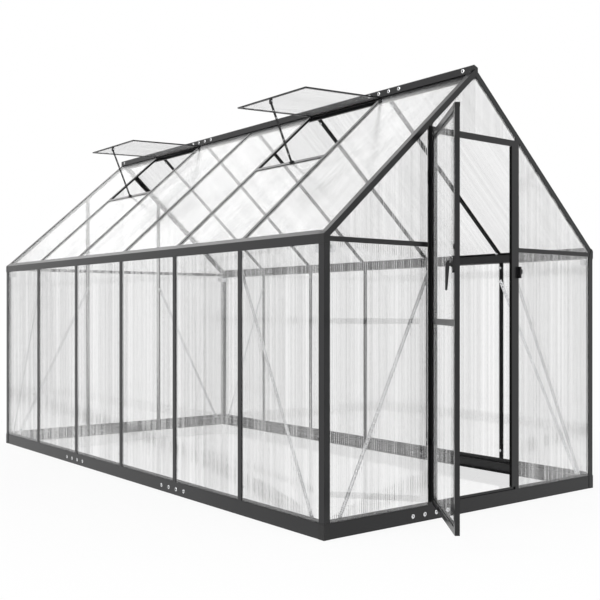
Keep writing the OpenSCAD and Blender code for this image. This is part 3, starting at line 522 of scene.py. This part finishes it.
# %% One nut on its washer
WASHER_R = 0.008
WASHER_T = 0.0012
NUT_R = 0.0068
NUT_T = 0.0045
bpy.ops.object.select_all(action="DESELECT")
bpy.ops.mesh.primitive_cylinder_add(vertices=12, radius=WASHER_R, depth=WASHER_T,
                                    location=(0, 0, WASHER_T / 2))
washer = bpy.context.object
bpy.ops.object.transform_apply()
bpy.ops.mesh.primitive_cylinder_add(vertices=6, radius=NUT_R, depth=NUT_T,
                                    location=(0, 0, WASHER_T + NUT_T / 2))
track_nut = bpy.context.object
bpy.ops.object.transform_apply()
bpy.ops.object.mode_set(mode="EDIT")
bpy.ops.mesh.select_mode(type="FACE")
pick_faces(track_nut, lambda middle, normal: normal.z > 0.9)
bpy.ops.mesh.inset(thickness=0.0009)
bpy.ops.transform.translate(value=(0, 0, 0.0007))
bpy.ops.mesh.inset(thickness=0.0022)
bpy.ops.mesh.extrude_region_move(TRANSFORM_OT_translate={"value": (0, 0, 0.004)})
bpy.ops.mesh.inset(thickness=0.0006)
bpy.ops.transform.translate(value=(0, 0, 0.0006))
bpy.ops.object.mode_set(mode="OBJECT")
washer.select_set(True)
bpy.context.view_layer.objects.active = track_nut
bpy.ops.object.join()
print("nut", len(track_nut.data.polygons), "faces")

# %% Nuts at the ends of the posts and roof bars
NUT_BELOW = 0.031
NUT_ABOVE = 0.06
nuts = []
for corners in solids_of("base_joiners"):
    lowest, highest, middle = box_of(corners)
    steps = [(k - 1.5) * PITCH for k in range(4)]
    if highest.y - lowest.y > highest.x - lowest.x:
        side = math.copysign(1, middle.x)
        face = lowest.x if side > 0 else highest.x
        nuts += [((face, middle.y + PAST_BAR + s, middle.z), (-side, 0, 0)) for s in steps]
    else:
        side = -1 if middle.y < 1 else 1
        face = highest.y if side < 0 else lowest.y
        nuts += [((middle.x + s, face, middle.z), (0, -side, 0)) for s in steps]
for name, side in (("left_wall_posts", -1), ("right_wall_posts", 1)):
    for corners in solids_of(name):
        lowest, highest, middle = box_of(corners)
        face = highest.x if side < 0 else lowest.x
        nuts += [((face, middle.y, z), (-side, 0, 0))
                 for z in (highest.z - NUT_BELOW, lowest.z + NUT_ABOVE)]
for name, side in (("left_roof_bars", -1), ("right_roof_bars", 1)):
    sheet = solids_of(name.replace("bars", "panels"))[0]
    rise = max(sheet, key=lambda p: p.z) - min(sheet, key=lambda p: p.z)
    upwards = Vector((rise.x, 0, rise.z)).normalized()
    inwards = Vector((-upwards.z, 0, upwards.x)) * (1 if side > 0 else -1)
    inwards = inwards if inwards.z < 0 else -inwards
    for corners in solids_of(name):
        middle = box_of(corners)[2]
        deep = max(p.dot(inwards) for p in corners)
        start = min(p.dot(upwards) for p in corners)
        end = max(p.dot(upwards) for p in corners)
        for run in (start + NUT_ABOVE, end - NUT_ABOVE):
            place = upwards * run + inwards * deep
            nuts.append(((place.x, middle.y, place.z), inwards))
set_out(track_nut, nuts, "track_nuts", zinc)

# %% Bolts at the ends of the braces and on the corner brackets
END_HOLE = 0.022
END_ZONE = 0.012
BRACKET_UP = 0.008
BRACES = ("left_wall_braces", "right_wall_braces", "front_braces", "back_braces")


def measure_brace(corners):
    """A brace's foot, top and direction, and the way from its middle out of the house."""
    lowest, highest, middle = box_of(corners)
    top = box_of([p for p in corners if p.z > highest.z - END_ZONE])[2]
    foot = box_of([p for p in corners if p.z < lowest.z + END_ZONE])[2]
    if highest.y - lowest.y > highest.x - lowest.x:
        outwards = Vector((math.copysign(1, middle.x), 0, 0))
    else:
        outwards = Vector((0, -1 if middle.y < 1 else 1, 0))
    return foot, top, (top - foot).normalized(), outwards


holds = []
for name in BRACES:
    for corners in solids_of(name):
        foot, top, lean, outwards = measure_brace(corners)
        face = max(p.dot(-outwards) for p in corners)
        for spot in (top - lean * END_HOLE, foot + lean * END_HOLE):
            holds.append((spot - outwards * (face - spot.dot(-outwards)), -outwards))
for corners in solids_of("corner_brackets"):
    lowest, highest, middle = box_of(corners)
    front = middle.y < 1
    left = middle.x < 0
    height = middle.z + BRACKET_UP
    holds.append((Vector((middle.x, lowest.y if front else highest.y, height)),
                  Vector((0, -1 if front else 1, 0))))
    holds.append((Vector((lowest.x if left else highest.x, middle.y, height)),
                  Vector((-1 if left else 1, 0, 0))))
set_out(dome_bolt, holds, "brace_bolts", zinc)

# %% [markdown]
# ## The flutes inside the sheets
#
# A twin-wall sheet is two skins with thin ribs between them, all extruded in one go, and
# the ribs run up the walls and up the roof. Every rib is a fine upright line of light
# or shade. The sheets could be shaded with stripes alone, but from close by, and from
# the side, the ribs have depth. Here each rib is a thin bar between the skins. Its
# length is cut to its own sheet, also where the sheet follows the slope of the roof.


# %% Cutting the ribs of one node's sheets
RIB_PITCH = 0.011
RIB_THICK = 0.0004
RIB_DEEP = 0.0034
RIB_END = 0.001
SHORTEST_RIB = 0.02
BAR_FACES = ((0, 1, 2, 3), (7, 6, 5, 4), (0, 4, 5, 1), (1, 5, 6, 2), (2, 6, 7, 3), (3, 7, 4, 0))


def ribs_in(name, finish, body="house"):
    """Makes all the ribs of a node's sheets as one piece."""
    shape = bmesh.new()
    shape.from_mesh(nodes[name].data)
    outwards = max(shape.faces, key=lambda f: round(f.calc_area(), 6)).normal.copy()
    shape.free()
    across = outwards.cross(Vector((0, 0, 1))).normalized()
    upwards = across.cross(outwards).normalized()
    upwards = upwards if upwards.z > 0 else -upwards
    corners_all, faces_all = [], []
    for corners in solids_of(name):
        flat = [(p.dot(across), p.dot(upwards)) for p in corners]
        depths = [p.dot(outwards) for p in corners]
        deep = (min(depths) + max(depths)) / 2
        first, last = min(s for s, _ in flat), max(s for s, _ in flat)
        count = int((last - first - 0.004) / RIB_PITCH)
        for k in range(count + 1):
            s = (first + last) / 2 + (k - count / 2) * RIB_PITCH
            reach = [r0 + (r1 - r0) * (s - s0) / (s1 - s0) for s0, r0 in flat for s1, r1 in flat
                     if s0 < s - 1e-6 and s1 > s + 1e-6]
            if not reach or max(reach) - min(reach) < SHORTEST_RIB:
                continue
            start, end = min(reach) + RIB_END, max(reach) - RIB_END
            first_corner = len(corners_all)
            for r in (start, end):
                for a, d in ((-1, -1), (1, -1), (1, 1), (-1, 1)):
                    corners_all.append(across * (s + a * RIB_THICK / 2) + upwards * r
                                       + outwards * (deep + d * RIB_DEEP / 2))
            faces_all += [tuple(first_corner + i for i in face) for face in BAR_FACES]
    mesh = bpy.data.meshes.new(name)
    mesh.from_pydata(corners_all, [], faces_all)
    piece = bpy.data.objects.new(name, mesh)
    scene.collection.objects.link(piece)
    bpy.ops.object.select_all(action="DESELECT")
    bpy.context.view_layer.objects.active = piece
    piece.select_set(True)
    bpy.ops.object.mode_set(mode="EDIT")
    bpy.ops.mesh.select_all(action="SELECT")
    bpy.ops.mesh.normals_make_consistent(inside=False)
    bpy.ops.object.mode_set(mode="OBJECT")
    return finish_piece(piece, name.replace("panels", "ribs"), finish, body)


# %% The finish of the ribs
BUNCH_MM = 24.0


def rib_finish(name, most):
    """Clear ribs, most of which is the share that the strongest of them mirror."""
    material = bpy.data.materials.new(name)
    material.use_nodes = True
    tree = material.node_tree
    tree.nodes.clear()
    point = place_in(tree, Scale=(1, 1, 0.02))
    uneven = add_node(tree, "TexNoise", {"Vector": point}, Scale=1000 / BUNCH_MM, Detail=1.0)
    tint = add_node(tree, "ValToRGB", {"Fac": uneven.outputs["Fac"]})
    tint.color_ramp.elements[0].color = hex_linear("#fbfbfb")
    tint.color_ramp.elements[1].color = hex_linear("#ffffff")
    clear = add_node(tree, "BsdfTransparent", {"Color": tint.outputs[0]})
    mirror = add_node(tree, "BsdfGlossy", Color=hex_linear("#fdfdfd"), Roughness=0.1)
    amount = add_node(tree, "MapRange", {"Value": uneven.outputs["Fac"]},
                      From_Min=0.35, From_Max=0.65, To_Min=0.02, To_Max=most)
    skin = add_node(tree, "MixShader",
                    {0: amount.outputs[0], 1: clear.outputs[0], 2: mirror.outputs[0]})
    add_node(tree, "OutputMaterial", {"Surface": skin.outputs[0]})
    return material


strong_rib = rib_finish("twin_wall_rib", 0.65)
faint_rib = rib_finish("twin_wall_rib_faint", 0.12)
print("two rib finishes")

# %% All the ribs
for name in SHEETS:
    if name == "door_panels":
        ribs_in(name, faint_rib, "door")
    elif "roof" in name or "vent" in name:
        ribs_in(name, faint_rib)
    else:
        ribs_in(name, strong_rib)

# %% [markdown]
# ## The punched rows of the braces
#
# A brace is cut from punched strip, with a row of small holes along each edge. They
# are only some millimetres wide, but they are dark and even, and make the strip look
# beaded. Cutting thousands of holes would cost far too many faces. One small ring is
# modelled instead. Its sunk middle and its rim are both painted dark grey as the shade
# inside a hole, and two Array modifiers lay it out in both rows.

# %% Painted shade of the punched holes
SHADE_MOTTLE_MM = 3.0
# The holes are not cut through, so their dark grey is painted shade, the shade that would fall
# inside each hole. A fine noise mottles it.
painted_hole_shade, tree, shader = new_material("punched_hole_painted_shade")
shader.inputs["Metallic"].default_value = 0.0
point = place_in(tree)
scale = add_node(tree, "TexNoise", {"Vector": point}, Scale=1000 / SHADE_MOTTLE_MM, Detail=1.0)
tone = add_node(tree, "ValToRGB", {"Fac": scale.outputs["Fac"]})
tone.color_ramp.elements[0].color = hex_linear("#2c2c2d")
tone.color_ramp.elements[1].color = hex_linear("#4a4a4b")
tree.links.new(tone.outputs[0], shader.inputs["Base Color"])
shader.inputs["Roughness"].default_value = 0.7
print(painted_hole_shade.name)

# %% One punched hole, then the rows of every brace
HOLE_R = 0.0024
HOLE_STEP = 0.0095
ROW_APART = 0.0145
RING_UP = 0.0003
bpy.ops.object.select_all(action="DESELECT")
bpy.ops.mesh.primitive_cylinder_add(vertices=8, radius=HOLE_R, depth=RING_UP,
                                    location=(0, 0, RING_UP / 2))
hole = bpy.context.object
bpy.ops.object.transform_apply()
bpy.ops.object.mode_set(mode="EDIT")
bpy.ops.mesh.select_mode(type="FACE")
pick_faces(hole, lambda middle, normal: normal.z > 0.9)
bpy.ops.mesh.inset(thickness=0.0004)
bpy.ops.transform.translate(value=(0, 0, -RING_UP / 2))
bpy.ops.object.mode_set(mode="OBJECT")
rows = []
for name in BRACES:
    for corners in solids_of(name):
        foot, top, lean, outwards = measure_brace(corners)
        face = max(p.dot(outwards) for p in corners)
        length = (top - foot).length
        count = int((length - 2 * ROW_APART) / HOLE_STEP)
        side = outwards.cross(lean).normalized()
        start = foot + lean * (length - (count - 1) * HOLE_STEP) / 2 - side * ROW_APART / 2
        start = start + outwards * (face - start.dot(outwards))
        row = hole.copy()
        row.data = hole.data.copy()
        scene.collection.objects.link(row)
        bpy.ops.object.select_all(action="DESELECT")
        bpy.context.view_layer.objects.active = row
        row.select_set(True)
        for step, number in (((HOLE_STEP, 0, 0), count), ((0, ROW_APART, 0), 2)):
            array = row.modifiers.new("row", "ARRAY")
            array.use_relative_offset = False
            array.use_constant_offset = True
            array.constant_offset_displace = step
            array.count = number
            bpy.ops.object.modifier_apply(modifier=array.name)
        turn = Matrix((lean, side, outwards)).transposed().to_4x4()
        row.data.transform(Matrix.Translation(start) @ turn)
        rows.append(row)
bpy.ops.object.select_all(action="DESELECT")
for row in rows:
    row.select_set(True)
bpy.context.view_layer.objects.active = rows[0]
bpy.ops.object.join()
# The rows take the painted shade of the holes.
finish_piece(bpy.context.object, "brace_punched_rows", painted_hole_shade)
bpy.data.objects.remove(hole)

# %% [markdown]
# ## Rubber, handle and stays
#
# A black rubber strip is glued to the door post on the hinge side, and a second one to
# the stop on the latch side. They could be plain bars, but the soft bead in the middle
# is what catches the light, so the front face of a long bar is inset and raised for it.
# The handle gets a collar round its spindle, two screws and a
# round button above the plate. Each vent stay has a pin at both its ends.

# %% Rubber
GRAIN_MM = 1.2
rubber, tree, shader = new_material("extruded_black_rubber")
shader.inputs["IOR"].default_value = 1.45
point = place_in(tree)
grain = add_node(tree, "TexNoise", {"Vector": point}, Scale=1000 / GRAIN_MM, Detail=2.0)
tone = add_node(tree, "ValToRGB", {"Fac": grain.outputs["Fac"]})
tone.color_ramp.elements[0].color = hex_linear("#050505")
tone.color_ramp.elements[1].color = hex_linear("#0b0b0b")
tree.links.new(tone.outputs[0], shader.inputs["Base Color"])
shader.inputs["Roughness"].default_value = 0.8
shader.inputs["Specular IOR Level"].default_value = 0.15
bump = add_node(tree, "Bump", {"Height": grain.outputs["Fac"]}, Strength=0.4, Distance=0.0002)
tree.links.new(bump.outputs[0], shader.inputs["Normal"])
print(rubber.name)

# %% The draught strip on the hinge post
STRIP_T = 0.0008
STRIP_IN = 0.001
lowest, highest, middle = box_of(min(solids_of("door_posts"), key=lambda c: box_of(c)[2].x))
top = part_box("door_header")[1][2]
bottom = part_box("base_front")[1][2]
bpy.ops.object.select_all(action="DESELECT")
bpy.ops.mesh.primitive_cube_add(
    size=1, location=(middle.x, lowest.y - STRIP_T / 2, (top + bottom) / 2),
    scale=(highest.x - lowest.x - 2 * STRIP_IN, STRIP_T, top - bottom))
strip = bpy.context.object
bpy.ops.object.transform_apply()
bpy.ops.object.mode_set(mode="EDIT")
bpy.ops.mesh.select_mode(type="FACE")
pick_faces(strip, lambda middle, normal: normal.y < -0.9)
bpy.ops.mesh.inset(thickness=0.006)
bpy.ops.mesh.inset(thickness=0.002)
bpy.ops.transform.translate(value=(0, -0.0009, 0))
bpy.ops.object.mode_set(mode="OBJECT")
finish_piece(strip, "draught_strip", rubber)

# %% The seal on the latch side
SEAL_T = 0.0045
SEAL_SHORT = 0.002
stop_low, stop_high = [Vector(c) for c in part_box("door_stop")]
stop_mid, stop_size = (stop_low + stop_high) / 2, stop_high - stop_low
bpy.ops.object.select_all(action="DESELECT")
bpy.ops.mesh.primitive_cube_add(
    size=1, location=(stop_low.x - SEAL_T / 2, stop_mid.y, stop_mid.z),
    scale=(SEAL_T, stop_size.y, stop_size.z - SEAL_SHORT))
seal = bpy.context.object
bpy.ops.object.transform_apply()
bpy.ops.object.mode_set(mode="EDIT")
bpy.ops.mesh.select_mode(type="FACE")
pick_faces(seal, lambda middle, normal: normal.x < -0.9)
bpy.ops.mesh.inset(thickness=0.003)
bpy.ops.transform.translate(value=(-0.0012, 0, 0))
bpy.ops.mesh.inset(thickness=0.001)
bpy.ops.transform.translate(value=(0.0008, 0, 0))
bpy.ops.object.mode_set(mode="OBJECT")
finish_piece(seal, "latch_side_seal", rubber)

# %% Collar, screws and button of the handle
leaf = solids_of("door_stiles")
plate_corners = solids_of("handle_plate")[0]
plate_mid = box_of(plate_corners)[2]
pane_mid = box_of(solids_of("door_panels")[0])[2]
along_leaf = (box_of(leaf[0])[2] - box_of(leaf[1])[2])
along_leaf = Vector((along_leaf.x, along_leaf.y, 0)).normalized()
outwards = along_leaf.cross(Vector((0, 0, 1)))
outwards = outwards if outwards.dot(plate_mid - pane_mid) > 0 else -outwards
face = max(p.dot(outwards) for p in plate_corners)
stile_face = max(p.dot(outwards) for c in leaf for p in c)
on_plate = plate_mid + outwards * (face - plate_mid.dot(outwards))
on_stile = plate_mid + outwards * (stile_face - plate_mid.dot(outwards))
tall = max(p.z for p in plate_corners) - plate_mid.z

COLLAR_R = 0.0115
COLLAR_T = 0.004
BUTTON_R = 0.0055
BUTTON_T = 0.001
BUTTON_UP = 0.07
BUTTON_LONG = 2.1
SCREW_IN = 0.008
bpy.ops.object.select_all(action="DESELECT")
bpy.ops.mesh.primitive_cylinder_add(vertices=32, radius=COLLAR_R, depth=COLLAR_T,
                                    location=(0, 0, COLLAR_T / 2))
collar = bpy.context.object
bpy.ops.object.transform_apply()
bpy.ops.object.mode_set(mode="EDIT")
bpy.ops.mesh.select_mode(type="FACE")
pick_faces(collar, lambda middle, normal: normal.z > 0.9)
bpy.ops.mesh.inset(thickness=0.0015)
bpy.ops.transform.translate(value=(0, 0, 0.0015))
bpy.ops.mesh.inset(thickness=0.0030)
bpy.ops.mesh.delete(type="FACE")
bpy.ops.mesh.select_all(action="DESELECT")
pick_faces(collar, lambda middle, normal: normal.z < -0.9)
bpy.ops.mesh.inset(thickness=0.0045)
bpy.ops.mesh.delete(type="FACE")
bpy.ops.mesh.select_mode(type="EDGE")
bpy.ops.mesh.select_non_manifold()
bpy.ops.mesh.bridge_edge_loops()
bpy.ops.mesh.select_all(action="SELECT")
bpy.ops.mesh.normals_make_consistent(inside=False)
bpy.ops.object.mode_set(mode="OBJECT")
bpy.ops.object.shade_smooth_by_angle(angle=math.radians(35))
set_out(collar, [(on_plate, outwards)], "handle_collar", nylon, "door")

bpy.ops.object.select_all(action="DESELECT")
bpy.ops.mesh.primitive_cylinder_add(vertices=24, radius=BUTTON_R, depth=BUTTON_T,
                                    location=(0, 0, BUTTON_T / 2))
button = bpy.context.object
bpy.ops.object.transform_apply()
bpy.ops.object.mode_set(mode="EDIT")
bpy.ops.mesh.select_mode(type="FACE")
pick_faces(button, lambda middle, normal: normal.z > 0.9)
for inwards, upwards in ((0.0004, 0.0016), (0.0011, 0.0012), (0.0016, 0.0006)):
    bpy.ops.mesh.inset(thickness=inwards)
    bpy.ops.transform.translate(value=(0, 0, upwards))
bpy.ops.object.mode_set(mode="OBJECT")
bpy.ops.object.shade_smooth_by_angle(angle=math.radians(60))
button.data.transform(Matrix.Diagonal((1.0, BUTTON_LONG, 1.0, 1.0)))
set_out(button, [(on_stile + Vector((0, 0, BUTTON_UP)), outwards)],
        "latch_button", nylon, "door")
screws = [(on_plate + Vector((0, 0, s * (tall - SCREW_IN))), outwards) for s in (-1, 1)]
# A screw head is the same form, round, smaller and flatter.
button.data.transform(Matrix.Diagonal((0.6, 0.6 / BUTTON_LONG, 0.35, 1.0)))
set_out(button, screws, "handle_screws", zinc, "door")

# %% Pins of the vent stays
PIN_R = 0.0045
PIN_LONG = 0.024
STAY_HEAD = 0.03
STAY_FOOT = 0.012
bpy.ops.object.select_all(action="DESELECT")
bpy.ops.mesh.primitive_cylinder_add(vertices=20, radius=PIN_R, depth=PIN_LONG)
pin = bpy.context.object
bpy.ops.object.mode_set(mode="EDIT")
bpy.ops.mesh.select_mode(type="FACE")
pick_faces(pin, lambda middle, normal: abs(normal.z) > 0.9)
bpy.ops.mesh.inset(thickness=0.0012, use_individual=True)
bpy.ops.mesh.extrude_faces_move(TRANSFORM_OT_shrink_fatten={"value": -0.001})
bpy.ops.mesh.select_all(action="SELECT")
bpy.ops.mesh.normals_make_consistent(inside=False)
bpy.ops.object.mode_set(mode="OBJECT")
pins = []
for corners in solids_of("vent_stays"):
    lowest, highest, middle = box_of(corners)
    upper = [p for p in corners if p.z > highest.z - STAY_HEAD]
    lower = [p for p in corners if p.z < lowest.z + STAY_FOOT]
    pins += [(box_of(near)[2], (0, 1, 0)) for near in (upper, lower)]
set_out(pin, pins, "stay_pins", zinc)
for model in (dome_bolt, track_nut, collar, button, pin):
    bpy.data.objects.remove(model)
